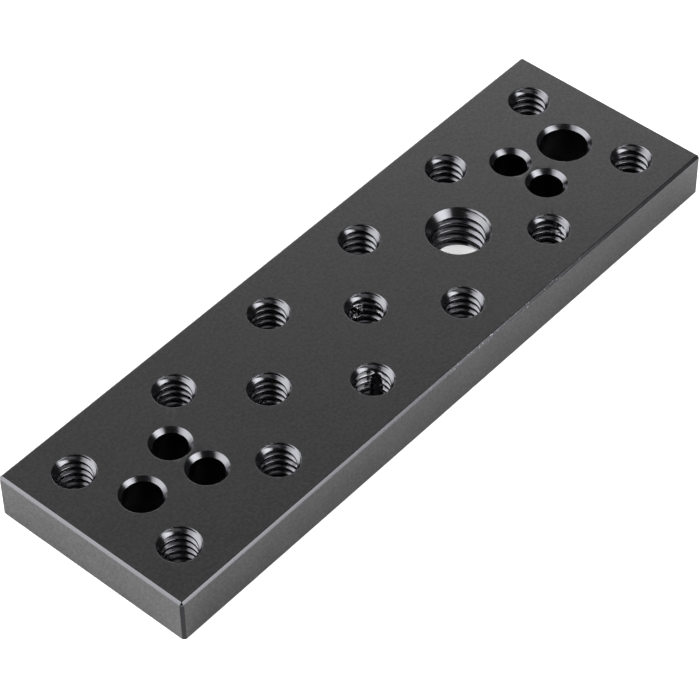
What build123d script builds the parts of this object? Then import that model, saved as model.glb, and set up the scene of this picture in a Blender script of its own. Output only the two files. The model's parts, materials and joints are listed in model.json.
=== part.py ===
from build123d import *
import math
import os

# A camera cheese plate: one flat bar of aluminium, drilled right through on a pattern.
# Lengths are in millimetres. The origin is at the middle of the underside, X runs along
# the plate towards the end that has the larger plain hole, and Z points up.

# Plate
plate_length = 115.0
plate_width = 35.0
plate_thickness = 8.0
edge_chamfer = 0.4

# Two outer rows of tapped holes, with an even pitch and centred on the plate
row_pitch = 20.0
row_spacing = 20.0
row_end_distance = 6.0  # least distance from a row's last hole centre to the plate's end

# Middle row: a small tapped hole at the centre, and one tapped hole on each side of it
middle_hole_offset = 21.0

# Plain holes at each end: a close pair across the plate, and a single one nearer the end
pair_end_distance = 20.0
pair_spacing = 7.0
left_single_end_distance = 10.7
right_single_end_distance = 11.3

# Bores: tapping drill sizes for the tapped holes, clearance sizes for the plain ones
quarter_inch_bore = 5.1
three_eighths_bore = 8.0
pair_bore = 5.1
left_single_bore = 5.7
right_single_bore = 7.3

# Countersinks, the same on both faces: the width of the rim at the face
quarter_inch_rim = 6.5
three_eighths_rim = 10.05
pair_rim = 6.5
left_single_rim = 6.9
right_single_rim = 8.55
countersink_angle = 90.0

cutter_overrun = 1.0  # how far a cutter reaches past each face


def bar():
    """The blank: a square-cornered bar standing on Z = 0, with every edge broken."""
    blank = Box(plate_length, plate_width, plate_thickness, align=(Align.CENTER, Align.CENTER, Align.MIN))
    return chamfer(blank.edges(), edge_chamfer)


def drill(bore, rim):
    """The space of one through hole: a straight bore that opens in a cone at each face."""
    spread = math.tan(math.radians(countersink_angle / 2))
    bore_radius = bore / 2
    cone_depth = (rim / 2 - bore_radius) / spread
    mouth_radius = rim / 2 + cutter_overrun * spread
    with BuildPart() as cutter:
        with BuildSketch(Plane.XZ):
            with BuildLine():
                Polyline(
                    (0, -cutter_overrun),
                    (mouth_radius, -cutter_overrun),
                    (bore_radius, cone_depth),
                    (bore_radius, plate_thickness - cone_depth),
                    (mouth_radius, plate_thickness + cutter_overrun),
                    (0, plate_thickness + cutter_overrun),
                    close=True,
                )
            make_face()
        revolve(axis=Axis.Z)
    return cutter.part


def outer_row_places():
    """Centres of the tapped holes in the two outer rows, as many as the length takes."""
    room = plate_length - 2 * row_end_distance
    count = int(room // row_pitch) + 1
    first = -row_pitch * (count - 1) / 2
    return [
        (first + row_pitch * step, side * row_spacing / 2)
        for step in range(count)
        for side in (-1, 1)
    ]


def pair_places():
    """Centres of the two close pairs of plain holes, one pair near each end."""
    from_middle = plate_length / 2 - pair_end_distance
    return [(end * from_middle, side * pair_spacing / 2) for end in (-1, 1) for side in (-1, 1)]


def hole_cutters():
    """Every hole of the plate, as the space that its drill and countersink take away."""
    quarter_inch = drill(quarter_inch_bore, quarter_inch_rim)
    three_eighths = drill(three_eighths_bore, three_eighths_rim)
    plain_pair = drill(pair_bore, pair_rim)
    left_single = drill(left_single_bore, left_single_rim)
    right_single = drill(right_single_bore, right_single_rim)

    cutters = [Pos(x, y) * quarter_inch for x, y in outer_row_places()]
    cutters.append(Pos(-middle_hole_offset, 0) * quarter_inch)
    cutters.append(Pos(0, 0) * quarter_inch)
    cutters.append(Pos(middle_hole_offset, 0) * three_eighths)
    cutters += [Pos(x, y) * plain_pair for x, y in pair_places()]
    cutters.append(Pos(left_single_end_distance - plate_length / 2, 0) * left_single)
    cutters.append(Pos(plate_length / 2 - right_single_end_distance, 0) * right_single)
    return cutters


def cheese_plate():
    """The drilled bar, as one solid."""
    plate = bar()
    for cutter in hole_cutters():
        plate = plate - cutter
    return plate.solid()


os.makedirs("parts", exist_ok=True)
plate = cheese_plate()
plate.label = "plate"
export_step(plate, "parts/plate.step")
print("plate volume", round(plate.volume, 1), "mm3")
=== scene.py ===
# Camera cheese plate: one flat bar of black anodised aluminium, drilled and tapped right through.
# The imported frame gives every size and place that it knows. Lengths are in millimetres here, and
# turn into metres where a mesh, a light or the camera is made.
import json
import math
import bmesh
import bpy
import numpy as np
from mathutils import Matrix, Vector
from mathutils.geometry import delaunay_2d_cdt


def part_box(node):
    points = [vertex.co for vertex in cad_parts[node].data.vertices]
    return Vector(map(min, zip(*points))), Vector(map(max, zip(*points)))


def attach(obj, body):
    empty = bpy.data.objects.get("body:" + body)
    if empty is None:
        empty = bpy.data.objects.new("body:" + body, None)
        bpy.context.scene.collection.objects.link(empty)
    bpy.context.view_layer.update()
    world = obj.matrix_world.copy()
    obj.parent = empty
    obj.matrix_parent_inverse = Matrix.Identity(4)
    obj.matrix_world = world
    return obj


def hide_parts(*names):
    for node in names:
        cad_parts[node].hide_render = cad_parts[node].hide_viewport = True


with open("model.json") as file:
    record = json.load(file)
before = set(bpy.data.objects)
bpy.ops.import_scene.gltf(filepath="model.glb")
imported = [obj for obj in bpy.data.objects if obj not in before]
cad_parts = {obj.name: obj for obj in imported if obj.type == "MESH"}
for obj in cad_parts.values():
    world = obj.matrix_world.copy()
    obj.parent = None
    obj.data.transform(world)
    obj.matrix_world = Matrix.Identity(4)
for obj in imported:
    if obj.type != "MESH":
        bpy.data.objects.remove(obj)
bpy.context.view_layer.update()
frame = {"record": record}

millimetre = 0.001
lowCorner, highCorner = [np.array(corner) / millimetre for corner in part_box("plate")]
plateBottom, plateTop = float(lowCorner[2]), float(highCorner[2])
plateMiddle = (lowCorner + highCorner) / 2


# The plate's shape

plateForm = {
    "edgeChamfer": 0.4,      # flat broken edge along every side of the bar
    "edgeBlunting": 0.15,    # radius to each side of that flat
    "blunting": 0.12,        # radius round the mouth of each hole
    "bluntingSteps": 3,      # facets across such a radius
    "columns": 48,           # facets round a small hole
    "wideColumns": 72,       # facets round a torn hole, or one with a bore radius over wideBore
    "tornSteps": 2,          # facets down each flank of a torn thread, for 1 in a sound one
    "wideBore": 3.9,
    "sharpAngle": 38.0,      # degrees between two facets, past which the edge is shaded sharp
}

threads = {
    "quarter_inch": {"pitch": 1.27, "outerRadius": 3.175, "startTurn": 0.33},        # 1/4-20
    "three_eighths": {"pitch": 1.5875, "outerRadius": 4.7625, "startTurn": 0.12},    # 3/8-16
}

threadForm = {
    "flankAngle": 30.0,      # degrees between a flank and a plane across the axis
    "rootFlat": 0.125,       # flat at the bottom of the groove, as a share of the pitch
    "rounding": 0.035,       # half width of each rounded corner, as a share of the pitch
    "roundingSamples": 9,    # radii that a rounded corner is the mean of
    "scarWaves": 24,         # sine waves in the noise of a tear
    "bareFrom": 0.05,        # mm of scar
    "mouthSteps": 6,         # level rows down each cone, besides those that climb with the thread
    "mouthOverlap": 0.02,    # mm that the mouth's finish reaches in past the groove's outer radius
    "spareTurns": 3,         # turns that start under the plate and are held on its lower rim ring
}

# Where the photo shows a thread torn or rubbed: azimuth and spread in degrees round the hole's axis,
# top and foot in mm under the top face. Wear takes the ridge down, scars of the given depth cut into
# it, and scar is their (width, height). The metal is bare where a scar passes bareFrom, and over the
# middle of a rubbed place, down to the rubbed share of its window.
tears = [
    {"hole": "quarter_inch_middle_2", "azimuth": 76.0, "spread": 36.0, "top": 1.5, "foot": 4.7,
     "wear": 0.03, "depth": 0.16, "scar": (0.36, 0.3)},
    {"hole": "quarter_inch_middle_2", "azimuth": -14.0, "spread": 36.0, "top": 1.6, "foot": 3.9,
     "wear": 0.4, "depth": 0.1, "scar": (0.7, 0.4)},
    {"hole": "quarter_inch_middle_1", "azimuth": 70.0, "spread": 24.0, "top": 4.3, "foot": 7.0,
     "wear": 0.0, "depth": 0.2, "scar": (0.4, 0.4)},
    {"hole": "quarter_inch_near_3", "azimuth": 30.0, "spread": 17.0, "top": 0.8, "foot": 8.6,
     "wear": 0.8, "depth": 0.0, "scar": (1.0, 1.0)},
    {"hole": "quarter_inch_near_3", "azimuth": 80.0, "spread": 30.0, "top": 0.6, "foot": 4.9,
     "wear": 0.0, "depth": 0.0, "scar": (1.0, 1.0), "rubbed": 0.35},
    {"hole": "quarter_inch_near_5", "azimuth": -4.0, "spread": 46.0, "top": 0.4, "foot": 5.2,
     "wear": 0.03, "depth": 0.09, "scar": (1.6, 0.28)},
    {"hole": "quarter_inch_far_3", "azimuth": -8.0, "spread": 36.0, "top": 0.7, "foot": 3.8,
     "wear": 0.03, "depth": 0.035, "scar": (0.8, 0.4)},
    {"hole": "quarter_inch_near_2", "azimuth": -24.0, "spread": 24.0, "top": 2.0, "foot": 4.4,
     "wear": 0.2, "depth": 0.08, "scar": (0.7, 0.5)},
    {"hole": "quarter_inch_far_2", "azimuth": -16.0, "spread": 24.0, "top": 2.6, "foot": 4.8,
     "wear": 0.2, "depth": 0.15, "scar": (0.7, 0.5)},
]


def readHoles():
    # Centre, bore radius, rim radius and thread of each through hole. The straight wall is as long
    # as the mount says, and the 45 degree cone at each face takes half of the thickness left over.
    # The first two words of a tapped hole's mount are the name of its thread.
    holes = []
    for mount in frame["record"]["mounts"]:
        if "r_mm" in mount["dims"]:
            bore = mount["dims"]["r_mm"]
            coneDepth = (plateTop - plateBottom - mount["dims"]["length_mm"]) / 2
            kind = "_".join(mount["name"].split("_")[:2])
            holes.append({
                "name": mount["name"],
                "centre": np.array(mount["pos_m"][:2]) / millimetre,
                "bore": bore,
                "rim": bore + coneDepth,
                "thread": threads.get(kind),
            })
    return holes


def blunted(path, radius, steps):
    # Each inner point of a path becomes an arc: centre + radius * (cos a, sin a), with a swept
    # evenly from one tangent to the next. Many paths go in at once, as (..., points, 2).
    before, point, after = path[..., :-2, :], path[..., 1:-1, :], path[..., 2:, :]
    inward = (point - before) / np.linalg.norm(point - before, axis=-1, keepdims=True)
    outward = (after - point) / np.linalg.norm(after - point, axis=-1, keepdims=True)
    cross = inward[..., 0] * outward[..., 1] - inward[..., 1] * outward[..., 0]
    turn = np.arctan2(cross, (inward * outward).sum(-1))
    leftward = np.stack([-inward[..., 1], inward[..., 0]], axis=-1)
    start = point - inward * (radius * np.tan(np.abs(turn) / 2))[..., None]
    arm = -leftward * (np.sign(turn) * radius)[..., None]
    swept = turn[..., None, None] * np.linspace(0, 1, steps + 1)[:, None]
    across = np.stack([-arm[..., 1], arm[..., 0]], axis=-1)
    arcs = (start - arm)[..., None, :] + arm[..., None, :] * np.cos(swept)
    arcs += across[..., None, :] * np.sin(swept)
    return arcs.reshape(*arcs.shape[:-3], -1, 2)


def strips(grid, closing=None):
    # Two triangles between each four neighbours in a grid of point numbers. The last column meets
    # the first one, or the closing column. A triangle that names a point twice is left out.
    last = grid[:, :1] if closing is None else closing[:, None]
    following = np.concatenate([grid[:, 1:], last], axis=1)
    low, high, lowNext, highNext = grid[:-1], grid[1:], following[:-1], following[1:]
    corners = np.stack([low, lowNext, highNext, low, highNext, high], axis=-1).reshape(-1, 3)
    whole = (corners != np.roll(corners, 1, axis=1)).all(axis=1)
    return corners[whole]


# What the plate's one mesh is made of, as the functions below add to it.
skin = {"points": [], "triangles": [], "finish": [], "count": 0}
# The finishes, in the order of the plate's material slots.
blasted, cutHole, milledEdge, tapMouth, tornEdge, shadedCut = range(6)


def addPoints(points):
    # Puts an array of (..., 3) points into the skin and returns their numbers, in the same layout.
    flat = points.reshape(-1, 3)
    numbers = np.arange(len(flat)) + skin["count"]
    skin["points"].append(flat)
    skin["count"] += len(flat)
    return numbers.reshape(points.shape[:-1])


def addTriangles(triangles, finish):
    # The finish is one for all the triangles, or an array with one for each.
    skin["triangles"].append(triangles)
    skin["finish"].append(np.broadcast_to(finish, len(triangles)))


def outside(form):
    # A section of (inset, height) carried round the bar, from two chamfers in on the top face to
    # two chamfers in on the underside. At each inset the outline is a rectangle of half length -
    # inset by half width - inset, with corners cut by chamfer - inset, or half the blunting at least.
    # The section's and the outline's corners are blunted.
    chamfer, blunting, steps = form["edgeChamfer"], form["edgeBlunting"], form["bluntingSteps"]
    section = np.array([
        (2 * chamfer, plateTop), (chamfer, plateTop), (0, plateTop - chamfer),
        (0, plateBottom + chamfer), (chamfer, plateBottom), (2 * chamfer, plateBottom),
    ])
    levels = blunted(section, np.full(len(section) - 2, blunting), steps)
    inset, height = levels[:, :1], levels[:, 1:]
    cornerCut = np.maximum(chamfer - inset, blunting / 2)
    # The outline's eight corners, anticlockwise, and which of them lie on an end of the bar.
    signX = np.array([1, 1, 1, -1, -1, -1, -1, 1])
    signY = np.array([-1, 1, 1, 1, 1, -1, -1, -1])
    onEnd = np.array([1, 1, 0, 0, 1, 1, 0, 0])
    halfLength, halfWidth = (highCorner - lowCorner)[:2] / 2
    x = signX * (halfLength - inset - cornerCut * (1 - onEnd))
    y = signY * (halfWidth - inset - cornerCut * onEnd)
    outline = np.stack([x, y], axis=-1)
    outline = np.concatenate([outline[:, -1:], outline, outline[:, :1]], axis=1)
    radius = np.broadcast_to(blunting * cornerCut / chamfer, x.shape)
    rings = blunted(outline, radius, steps) + plateMiddle[:2]
    heights = np.broadcast_to(height[:, None], (*rings.shape[:2], 1))
    points = np.concatenate([rings, heights], axis=-1)
    numbers = addPoints(points)
    triangles = strips(numbers)
    a, b, c = np.moveaxis(points.reshape(-1, 3)[triangles - numbers[0, 0]], 1, 0)
    facing = np.cross(b - a, c - a)
    facing /= np.linalg.norm(facing, axis=1, keepdims=True)
    slack = 0.001    # how far a unit normal may be off
    flat = np.abs(facing).max(axis=1) > 1 - slack
    upright = np.abs(facing[:, 2]) < slack
    # The upright corner facets take the darkened cut metal, whose colour is painted shade.
    addTriangles(triangles, np.select([flat, upright], [blasted, shadedCut], milledEdge))
    return numbers[0], numbers[-1]


def grooveKnees(thread, bore):
    # A groove over one pitch as (share of the pitch, radius): a flat crest at the bore radius, a
    # flank, a flat root at the outer radius and a flank back.
    depth = thread["outerRadius"] - bore
    flank = depth * math.tan(math.radians(threadForm["flankAngle"])) / thread["pitch"]
    root = threadForm["rootFlat"]
    shares = np.cumsum([0, 1 - 2 * flank - root, flank, root, flank])
    return shares, np.array([bore, bore, bore + depth, bore + depth, bore])


def grooveRows(shares, steps):
    # Three rows round each corner of a groove, and evenly spaced ones that part each flank in steps.
    rounding = threadForm["rounding"]
    corners = shares[1:, None] + np.array([-rounding, 0, rounding])
    flanks = np.linspace(shares[[1, 3]], shares[[2, 4]], steps + 1)[1:-1]
    return np.sort(np.concatenate([corners.ravel() % 1, flanks.ravel()]))


def grooveRadius(shares, radii, place):
    # The radius at a place along the pitch: the mean of the sharp groove's radii from one rounding
    # below the place to one above it, which bends each corner.
    samples = np.linspace(-1, 1, threadForm["roundingSamples"])
    window = place[..., None] + threadForm["rounding"] * samples
    return np.interp(window % 1, shares, radii).mean(axis=-1)


def tornRadius(hole, radius, turn, depth):
    # Each tear adds window * (wear + depth * scars) to the radius. The window falls from 1 at the
    # tear's middle to 0 at its border, 1 - u * u each way, and the scars are a sum of seeded sine
    # waves over the wall, scaled to a standard deviation of 1. The radius stays between the bore
    # and the bottom of the groove.
    waveCount = threadForm["scarWaves"]
    bare = np.zeros(radius.shape, bool)
    for seed, tear in enumerate(tears):
        if tear["hole"] != hole["name"]:
            continue
        angle = (360 * turn - tear["azimuth"] + 180) % 360 - 180
        middle, reach = (tear["top"] + tear["foot"]) / 2, (tear["foot"] - tear["top"]) / 2
        window = np.clip(1 - (angle / tear["spread"]) ** 2, 0, 1)
        window = window * np.clip(1 - ((depth - middle) / reach) ** 2, 0, 1)
        chance = np.random.default_rng(seed)
        waves = math.pi * chance.normal(size=(waveCount, 2)) / tear["scar"]
        shifts = chance.uniform(0, 2 * math.pi, waveCount)
        along = hole["bore"] * np.radians(angle) + 0 * depth
        phase = waves[:, 0] * along[..., None] + waves[:, 1] * depth[..., None]
        scars = np.sin(phase + shifts).sum(axis=-1) / math.sqrt(waveCount / 2)
        radius = radius + window * (tear["wear"] + tear["depth"] * scars)
        bare |= window * tear["depth"] * scars > threadForm["bareFrom"]
        bare |= window > tear.get("rubbed", 1)
    return np.clip(radius, hole["bore"], hole["thread"]["outerRadius"]), bare


def holeWall(hole, form):
    # A wall round the hole's axis: (r cos a, r sin a, z), where r is the greatest of the bore or
    # groove radius and the two cones, rim - depth under each face. In a tapped hole most rows climb
    # with the thread, z = start + pitch * (row + a / turn), the rest are level, and all of them
    # are put in order of height in each column and end on the rim rings.
    wide = hole["bore"] > form["wideBore"]
    torn = any(tear["hole"] == hole["name"] for tear in tears)
    columns = form["wideColumns"] if wide or torn else form["columns"]
    turn = np.arange(columns) / columns
    blunting, steps = form["blunting"], form["bluntingSteps"]
    slope = math.pi / 4
    lip = blunting * math.tan(slope / 2)
    dip = blunting * (1 - math.cos(slope))
    top, bottom = plateTop - dip, plateBottom + dip
    coneDepth = hole["rim"] - hole["bore"]

    def place(radius, z):
        radius, z, angle = np.broadcast_arrays(radius, z, 2 * math.pi * turn)
        x = hole["centre"][0] + radius * np.cos(angle)
        y = hole["centre"][1] + radius * np.sin(angle)
        return addPoints(np.stack([x, y, z], axis=-1))

    topRing = place(hole["rim"] - dip, top)
    bottomRing = place(hole["rim"] - dip, bottom)
    if hole["thread"]:
        pitch = hole["thread"]["pitch"]
        shares, radii = grooveKnees(hole["thread"], hole["bore"])
        rows = grooveRows(shares, form["tornSteps"] if torn else 1)
        turns = math.ceil((top - bottom) / pitch) + threadForm["spareTurns"] + 1
        climb = turn - threadForm["spareTurns"] + hole["thread"]["startTurn"]
        climbing = bottom + pitch * ((np.arange(turns)[:, None] + rows).ravel()[:, None] + climb)
        mouth = np.linspace(coneDepth, 0, threadForm["mouthSteps"], endpoint=False)
        level = np.concatenate([plateBottom + mouth, plateTop - mouth])[:, None] + 0 * turn
        z = np.sort(np.concatenate([climbing, level]), axis=0)
        groove = grooveRadius(shares, radii, (z - bottom) / pitch - climb)
        groove, bare = tornRadius(hole, groove, turn, plateTop - z)
        held = np.clip(z, bottom, top)
        cone = hole["rim"] - np.minimum(plateTop - held, held - plateBottom)
        numbers = place(np.maximum(groove, cone), held)
        numbers = np.where(z >= top, topRing, numbers)
        numbers = np.where(z <= bottom, bottomRing, numbers)
        finish = np.full(skin["count"], cutHole)
        finish[numbers[bare]] = tornEdge
        if not wide:
            mouthFrom = hole["thread"]["outerRadius"] - threadForm["mouthOverlap"]
            finish[numbers[cone >= mouthFrom]] = tapMouth
        # The last column meets the first one a pitch higher. A triangle takes the finish that all
        # its corners share, and otherwise that of the cut hole.
        wall = strips(numbers[:-len(rows)], numbers[len(rows):, 0])
        ofWall = finish[wall]
        addTriangles(wall, np.where((ofWall == ofWall[:, :1]).all(axis=1), ofWall[:, 0], cutHole))
    else:
        upper = place(hole["bore"], plateTop - coneDepth)
        lower = place(hole["bore"], plateBottom + coneDepth)
        addTriangles(strips(np.stack([bottomRing, lower])), cutHole)
        # The straight bore takes the darkened cut metal, whose colour is painted shade.
        addTriangles(strips(np.stack([lower, upper])), shadedCut)
        addTriangles(strips(np.stack([upper, topRing])), cutHole)

    # The blunted lip at each face: an arc from the cone's slope to the face, blasted like the face.
    lean = np.linspace(slope, 0, steps + 1)[1:, None]
    radius = hole["rim"] + lip - blunting * np.sin(lean)
    sink = blunting * (1 - np.cos(lean))
    topLip = place(radius, plateTop - sink)
    bottomLip = place(radius, plateBottom + sink)
    addTriangles(strips(np.concatenate([topRing[None], topLip])), blasted)
    addTriangles(strips(np.concatenate([bottomRing[None], bottomLip])), blasted)
    return topLip[-1], bottomLip[-1]


def flatFaces(topRings, bottomRings):
    # A Delaunay triangulation between the outline, which is the first ring, and the holes' lips,
    # used for both faces. A triangle with all its corners on one lip would cover that hole.
    convexHull, mergeWithin = 0, 1e-6
    flat = np.concatenate(skin["points"])[np.concatenate(topRings), :2]
    sizes = [len(ring) for ring in topRings]
    starts = np.cumsum([0] + sizes[:-1])
    following = [start + np.roll(np.arange(size), -1) for start, size in zip(starts, sizes)]
    edges = np.stack([np.arange(len(flat)), np.concatenate(following)], axis=1)
    faces = delaunay_2d_cdt(flat.tolist(), edges.tolist(), [], convexHull, mergeWithin)[2]
    triangles = np.array(faces)
    owners = np.repeat(np.arange(len(sizes)), sizes)[triangles]
    overHole = (owners[:, 0] > 0) & (owners == owners[:, :1]).all(axis=1)
    triangles = triangles[~overHole]
    addTriangles(np.concatenate(topRings)[triangles], blasted)
    addTriangles(np.concatenate(bottomRings)[triangles], blasted)


def plateObject(name, finishes):
    # One closed mesh of all that the skin holds, in metres, without the points that no triangle
    # names. Its normals face outwards and are smooth up to the sharp angle.
    triangles = np.concatenate(skin["triangles"])
    used, corners = np.unique(triangles, return_inverse=True)
    points = np.concatenate(skin["points"])[used] * millimetre
    mesh = bpy.data.meshes.new(name)
    mesh.from_pydata(points, [], corners.reshape(-1, 3))
    mesh.polygons.foreach_set("material_index", np.concatenate(skin["finish"]).astype(np.int32))
    mesh.polygons.foreach_set("use_smooth", np.ones(len(triangles), bool))
    for finish in finishes:
        mesh.materials.append(finish)
    work = bmesh.new()
    work.from_mesh(mesh)
    bmesh.ops.recalc_face_normals(work, faces=work.faces)
    openEdges = sum(not edge.is_manifold for edge in work.edges)
    volume = work.calc_volume() / millimetre ** 3
    work.to_mesh(mesh)
    work.free()
    mesh.set_sharp_from_angle(angle=math.radians(plateForm["sharpAngle"]))
    piece = bpy.data.objects.new(name, mesh)
    bpy.context.scene.collection.objects.link(piece)
    shading = piece.modifiers.new("even shading", "WEIGHTED_NORMAL")
    shading.keep_sharp = True
    print("plate:", len(triangles), "triangles,", openEdges, "open edges, volume", round(volume), "mm3")
    return piece


# Finishes

def linear(hexColour):
    # sRGB to linear: c / 12.92 up to 0.04045, and ((c + 0.055) / 1.055) ** 2.4 above.
    levels = [int(hexColour[place:place + 2], 16) / 255 for place in (1, 3, 5)]
    return (*[c / 12.92 if c <= 0.04045 else ((c + 0.055) / 1.055) ** 2.4 for c in levels], 1.0)


def addNode(tree, kind, inputs=None, **settings):
    # Adds a node, sets its properties, and fills each named input with a value or a link.
    node = tree.nodes.new("ShaderNode" + kind)
    for name, value in settings.items():
        setattr(node, name, value)
    for name, value in (inputs or {}).items():
        if isinstance(value, bpy.types.NodeSocket):
            tree.links.new(value, node.inputs[name])
        else:
            node.inputs[name].default_value = value
    return node


# A Mix node's colour sockets go by number, because its kinds share their names.
mixShare, mixFirst, mixSecond, mixResult = 0, 6, 7, 2

# In every look, pale and deep are the ends of the colour's range, and roughness is (least, most).
blastedLook = {
    "pale": "#353537",       # where the dye took less
    "deep": "#0c0c0e",
    "ior": 1.72,             # of anodic oxide
    "roughness": (0.32, 0.40),
    "grain": 0.45,           # mm between pits; glass bead leaves about 0.1, too fine to show here
    "grainHeight": 0.014,    # mm
    "grainSpread": 0.16,     # how far the noise goes from its middle at the palest and the deepest
    "cloud": 6.0,            # mm across the faint patches that the dye bath leaves
    "cloudShare": 0.3,       # of the grain's strength
}

# The threads, and the cones of every hole.
holeLook = {
    "pale": "#7c7c80",
    "deep": "#717176",
    "roughness": (0.15, 0.22),
    "feed": 0.12,            # mm between the rings that the tool leaves
    "feedHeight": 0.0006,    # mm
}

# The ring of a small tapped hole's cone that is wider than its thread.
mouthLook = {
    "pale": "#909096",
    "deep": "#828286",
    "roughness": (0.4, 0.5),
    "feed": 0.14,
    "feedHeight": 0.0012,
}

# The straight walls of the plain holes and the plate's four upright corners. Its colour is painted shade:
# the same cut metal as the holes, drawn far darker so that these walls stay dark where they mirror the lit
# floor.
shadedCutLook = {
    "pale": "#363639",
    "deep": "#2e2e30",
    "roughness": (0.3, 0.42),
    "feed": 0.3,
    "feedHeight": 0.0012,
}

# Bare metal where a thread is torn or rubbed.
tornLook = {
    "pale": "#e5e5eb",
    "deep": "#b5b5b9",
    "roughness": (0.28, 0.4),
    "feed": 0.2,
    "feedHeight": 0.004,
}

# The broken edges round the top face and the underside.
edgeLook = {
    "pale": "#707074",
    "deep": "#646467",
    "roughness": (0.18, 0.26),
    "feed": 0.15,
    "feedHeight": 0.0005,
}

# Specks along the near long top edge where the anodising is knocked through to the aluminium.
nickLook = {
    "bare": "#d4d4d9",
    "size": 0.3,             # mm across a speck
    "share": 0.64,           # the noise has to pass this, so a higher share leaves fewer specks
    "softness": 0.04,        # of the noise, over which a speck's border fades
    "reach": 0.55,           # mm from the edge, down the side and in across the top
    "middle": 12.0,          # mm along the bar
    "spread": 24.0,          # mm to each side of that middle
    "fadeFrom": 0.6,         # share of the reach and spread where the specks start to thin out
}

feedStreak = 2.5             # mm along a feed mark over which it stays even


def newMaterial(name):
    material = bpy.data.materials.new(name)
    material.use_nodes = True
    tree = material.node_tree
    tree.nodes.clear()
    shader = addNode(tree, "BsdfPrincipled")
    addNode(tree, "OutputMaterial", {"Surface": shader.outputs["BSDF"]})
    place = addNode(tree, "TexCoord").outputs["Object"]
    inMillimetres = addNode(tree, "VectorMath", {0: place, "Scale": 1 / millimetre}, operation="SCALE")
    return material, tree, shader, inMillimetres.outputs["Vector"]


def blastedAnodised():
    # Black anodised aluminium, blasted with glass bead before the dye. The dyed oxide is a near
    # black skin with a clear gloss of its own, which the blasting spreads to satin. The eye sees a
    # dark grey with an even fine grain, and faint clouds where the dye took more or less.
    look = blastedLook
    material, tree, shader, place = newMaterial("blasted black anodised aluminium")
    shader.inputs["IOR"].default_value = look["ior"]
    grain = addNode(tree, "TexNoise", {"Vector": place, "Scale": 1 / look["grain"], "Detail": 2.0,
                                       "Roughness": 0.5})
    cloud = addNode(tree, "TexNoise", {"Vector": place, "Scale": 1 / look["cloud"], "Detail": 4.0,
                                       "Roughness": 0.55})
    blend = addNode(tree, "Math", {0: cloud.outputs["Fac"], 1: look["cloudShare"],
                                   2: grain.outputs["Fac"]}, operation="MULTIPLY_ADD")
    middle = (1 + look["cloudShare"]) / 2
    share = addNode(tree, "MapRange", {"Value": blend.outputs[0], "From Min": middle - look["grainSpread"],
                                       "From Max": middle + look["grainSpread"]})
    colour = addNode(tree, "Mix", {mixShare: share.outputs[0], mixFirst: linear(look["deep"]),
                                   mixSecond: linear(look["pale"])}, data_type="RGBA")
    rough = addNode(tree, "MapRange", {"Value": share.outputs[0], "To Min": look["roughness"][1],
                                       "To Max": look["roughness"][0]})
    bump = addNode(tree, "Bump", {"Height": grain.outputs["Fac"], "Strength": 1.0,
                                  "Distance": look["grainHeight"] * millimetre})
    tree.links.new(colour.outputs[mixResult], shader.inputs["Base Color"])
    tree.links.new(rough.outputs[0], shader.inputs["Roughness"])
    tree.links.new(bump.outputs[0], shader.inputs["Normal"])
    return material


def cutMetal(name, look):
    # Aluminium left as the tool cut it, under the black anodising or, where a thread is torn, bare.
    # The layer is smooth and the bright metal shows through it, so it mirrors like a grey metal,
    # sharper than the blasted faces. The feed marks of the tool are faint level lines, rings in a
    # hole and streaks along a milled edge.
    material, tree, shader, place = newMaterial(name)
    shader.inputs["Metallic"].default_value = 1.0
    marks = (1 / feedStreak, 1 / feedStreak, 1 / look["feed"])
    stretch = addNode(tree, "VectorMath", {0: place, 1: marks}, operation="MULTIPLY")
    rings = addNode(tree, "TexNoise", {"Vector": stretch.outputs[0], "Scale": 1.0, "Detail": 2.0})
    colour = addNode(tree, "Mix", {mixShare: rings.outputs["Fac"], mixFirst: linear(look["deep"]),
                                   mixSecond: linear(look["pale"])}, data_type="RGBA")
    rough = addNode(tree, "MapRange", {"Value": rings.outputs["Fac"], "To Min": look["roughness"][0],
                                       "To Max": look["roughness"][1]})
    bump = addNode(tree, "Bump", {"Height": rings.outputs["Fac"], "Strength": 1.0,
                                  "Distance": look["feedHeight"] * millimetre})
    tree.links.new(colour.outputs[mixResult], shader.inputs["Base Color"])
    tree.links.new(rough.outputs[0], shader.inputs["Roughness"])
    tree.links.new(bump.outputs[0], shader.inputs["Normal"])
    return material


def nicked(material):
    # Adds the specks: noise over the share, held within reach of the edge and spread along it, turns
    # the dyed colour to bare aluminium, which the eye sees as a scatter of pale glints.
    look = nickLook
    tree = material.node_tree
    shader = next(node for node in tree.nodes if node.type == "BSDF_PRINCIPLED")
    dyed = shader.inputs["Base Color"].links[0].from_socket
    place = addNode(tree, "TexCoord").outputs["Object"]
    edge = Vector((plateMiddle[0] + look["middle"], lowCorner[1], plateTop)) * millimetre
    offset = addNode(tree, "VectorMath", {0: place, 1: edge}, operation="SUBTRACT")
    sizes = (look["spread"] * millimetre, look["reach"] * millimetre, look["reach"] * millimetre)
    scaled = addNode(tree, "VectorMath", {0: offset.outputs[0], 1: sizes}, operation="DIVIDE")
    away = addNode(tree, "VectorMath", {0: scaled.outputs[0]}, operation="LENGTH")
    near = addNode(tree, "MapRange", {"Value": away.outputs["Value"], "From Min": look["fadeFrom"],
                                      "From Max": 1.0, "To Min": 1.0, "To Max": 0.0})
    speck = addNode(tree, "TexNoise", {"Vector": place, "Scale": 1 / (look["size"] * millimetre),
                                       "Detail": 2.0})
    past = addNode(tree, "MapRange", {"Value": speck.outputs["Fac"], "From Min": look["share"],
                                      "From Max": look["share"] + look["softness"]})
    bare = addNode(tree, "Math", {0: near.outputs[0], 1: past.outputs[0]}, operation="MULTIPLY")
    colour = addNode(tree, "Mix", {mixShare: bare.outputs[0], mixFirst: dyed,
                                   mixSecond: linear(look["bare"])}, data_type="RGBA")
    tree.links.new(colour.outputs[mixResult], shader.inputs["Base Color"])
    return material


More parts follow.
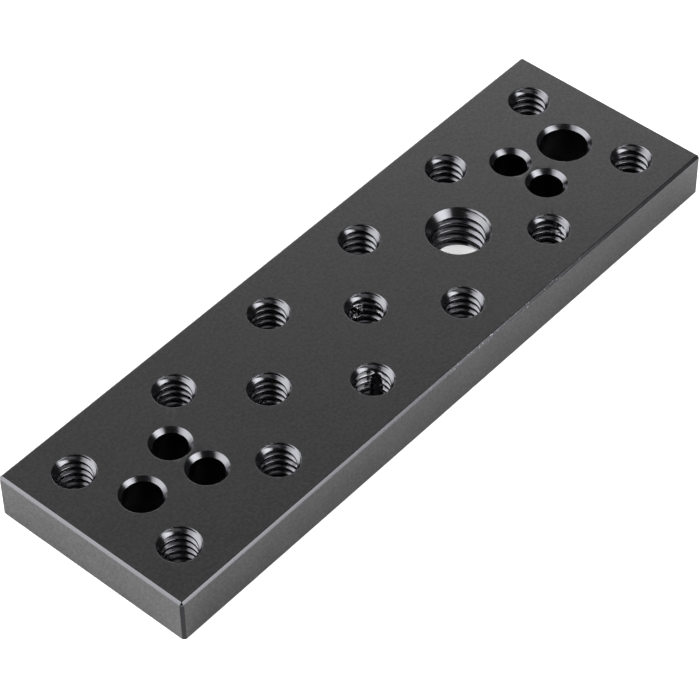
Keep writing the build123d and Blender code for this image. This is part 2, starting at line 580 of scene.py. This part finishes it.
holes = readHoles()
outlineTop, outlineBottom = outside(plateForm)
lips = [holeWall(hole, plateForm) for hole in holes]
flatFaces([outlineTop] + [lip[0] for lip in lips], [outlineBottom] + [lip[1] for lip in lips])
cheesePlate = plateObject("cheese_plate", [
    blastedAnodised(),
    cutMetal("drilled and tapped black anodised aluminium", holeLook),
    nicked(cutMetal("edge milled black anodised aluminium", edgeLook)),
    cutMetal("countersunk and tapped black anodised aluminium", mouthLook),
    cutMetal("torn aluminium", tornLook),
    # The side cut metal's dark colour is painted shade on the plain bores and upright corners.
    cutMetal("side cut black anodised aluminium", shadedCutLook),
])
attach(cheesePlate, "root")
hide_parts("plate")
print("finishes ready")


# Floor, light and camera

studio = {
    "floorSize": 8000.0,
    "floorColour": "#f0f0f0",
    "floorGlow": 0.62,       # added to the floor as the camera sees it, and not to the light it gives
    "surround": 0.03,        # radiance of the white world all round
    "boxCore": 0.2,          # share of a soft box's width, out from its middle, that is fully bright
}

# Soft boxes that face the plate: azimuth and elevation in degrees, distance and size in
# millimetres, and edgeShare the radiance at the border as a share of the middle's. The
# floorRadiance comes on top of the radiance and falls on the floor alone, which keeps the floor
# white with no glare on the plate's satin faces.
softBoxes = {
    "left": {"azimuth": 131.0, "elevation": 36.0, "distance": 900.0, "size": (1250.0, 1260.0),
             "radiance": 2.88, "floorRadiance": 6.8, "edgeShare": 0.5},
    "right": {"azimuth": -77.5, "elevation": 36.4, "distance": 800.0, "size": (630.0, 370.0),
              "radiance": 4.08, "floorRadiance": 9.7, "edgeShare": 0.6},
    "back": {"azimuth": 40.0, "elevation": 18.0, "distance": 900.0, "size": (900.0, 540.0),
             "radiance": 2.7, "floorRadiance": 0.0, "edgeShare": 1.0},
    "top": {"azimuth": -92.0, "elevation": 69.0, "distance": 900.0, "size": (500.0, 480.0),
            "radiance": 0.38, "floorRadiance": 0.0, "edgeShare": 0.5},
}

view = {
    "place": (-230.7, -204.1, 326.6),     # mm
    "turn": (43.24, 0.715, -48.81),       # degrees about X, then Y, then Z
    "focalPixels": 3053.0,                # of a picture 700 pixels wide
    "pictureWidth": 700.0,
    "sensorWidth": 36.0,                  # mm
    "clip": (10.0, 20000.0),              # mm
}


def makeFloor():
    # A sheet of pale matt card. It has no gloss, so the eye sees an even white with soft shadows,
    # and the glow lifts it to the plain white of the photo.
    half = studio["floorSize"] / 2 * millimetre
    height = plateBottom * millimetre
    corners = [(-half, -half, height), (half, -half, height), (half, half, height), (-half, half, height)]
    mesh = bpy.data.meshes.new("floor")
    mesh.from_pydata(corners, [], [(0, 1, 2, 3)])
    material = bpy.data.materials.new("pale matt sheet")
    material.use_nodes = True
    tree = material.node_tree
    shader = tree.nodes["Principled BSDF"]
    shader.inputs["Base Color"].default_value = linear(studio["floorColour"])
    shader.inputs["Roughness"].default_value = 1.0
    shader.inputs["Specular IOR Level"].default_value = 0.0
    shader.inputs["Emission Color"].default_value = (1.0, 1.0, 1.0, 1.0)
    sight = addNode(tree, "LightPath")
    glow = addNode(tree, "Math", {0: sight.outputs["Is Camera Ray"], 1: studio["floorGlow"]},
                   operation="MULTIPLY")
    tree.links.new(glow.outputs[0], shader.inputs["Emission Strength"])
    mesh.materials.append(material)
    floor = bpy.data.objects.new("floor", mesh)
    bpy.context.scene.collection.objects.link(floor)
    return floor


def makeSoftBox(name, box, radiance, receivers=None):
    # A lamp's power is radiance * pi * area. Its radiance falls smoothly from the core to the
    # border, where the parametric coordinates are 0.5 away from the middle. A lamp with a
    # collection of receivers lights nothing else.
    azimuth, elevation = math.radians(box["azimuth"]), math.radians(box["elevation"])
    outward = Vector((math.cos(azimuth) * math.cos(elevation), math.sin(azimuth) * math.cos(elevation),
                      math.sin(elevation)))
    lamp = bpy.data.lights.new(name, "AREA")
    lamp.shape = "RECTANGLE"
    lamp.size, lamp.size_y = [side * millimetre for side in box["size"]]
    lamp.energy = radiance * math.pi * lamp.size * lamp.size_y
    lamp.use_nodes = True
    tree = lamp.node_tree
    across = addNode(tree, "NewGeometry").outputs["Parametric"]
    fromMiddle = addNode(tree, "VectorMath", {0: across, 1: (0.5, 0.5, 0.0)}, operation="SUBTRACT")
    reach = addNode(tree, "VectorMath", {0: fromMiddle.outputs["Vector"]}, operation="LENGTH")
    share = addNode(tree, "MapRange", {"Value": reach.outputs["Value"], "From Min": studio["boxCore"],
                                       "From Max": 0.5, "To Min": 1.0, "To Max": box["edgeShare"]},
                    interpolation_type="SMOOTHSTEP")
    tree.links.new(share.outputs[0], tree.nodes["Emission"].inputs["Strength"])
    holder = bpy.data.objects.new(name, lamp)
    bpy.context.scene.collection.objects.link(holder)
    holder.location = Vector(plateMiddle * millimetre) + outward * box["distance"] * millimetre
    holder.rotation_euler = outward.to_track_quat("Z", "Y").to_euler()
    holder.light_linking.receiver_collection = receivers


def makeCamera():
    # The focal length is the sensor's width * focal pixels / the picture's width.
    lens = bpy.data.cameras.new("view")
    lens.sensor_width = view["sensorWidth"]
    lens.lens = lens.sensor_width * view["focalPixels"] / view["pictureWidth"]
    lens.clip_start, lens.clip_end = [reach * millimetre for reach in view["clip"]]
    camera = bpy.data.objects.new("view", lens)
    bpy.context.scene.collection.objects.link(camera)
    camera.location = [part * millimetre for part in view["place"]]
    camera.rotation_euler = [math.radians(part) for part in view["turn"]]
    bpy.context.scene.camera = camera


world = bpy.data.worlds.new("surround")
world.use_nodes = True
world.node_tree.nodes["Background"].inputs["Color"].default_value = (1.0, 1.0, 1.0, 1.0)
world.node_tree.nodes["Background"].inputs["Strength"].default_value = studio["surround"]
bpy.context.scene.world = world
bpy.context.scene.view_settings.view_transform = "Standard"
floorAlone = bpy.data.collections.new("floor alone")
floorAlone.objects.link(makeFloor())
for boxName, softBox in softBoxes.items():
    makeSoftBox(boxName + " soft box", softBox, softBox["radiance"])
    if softBox["floorRadiance"]:
        makeSoftBox(boxName + " floor light", softBox, softBox["floorRadiance"], floorAlone)
makeCamera()
print("studio ready")
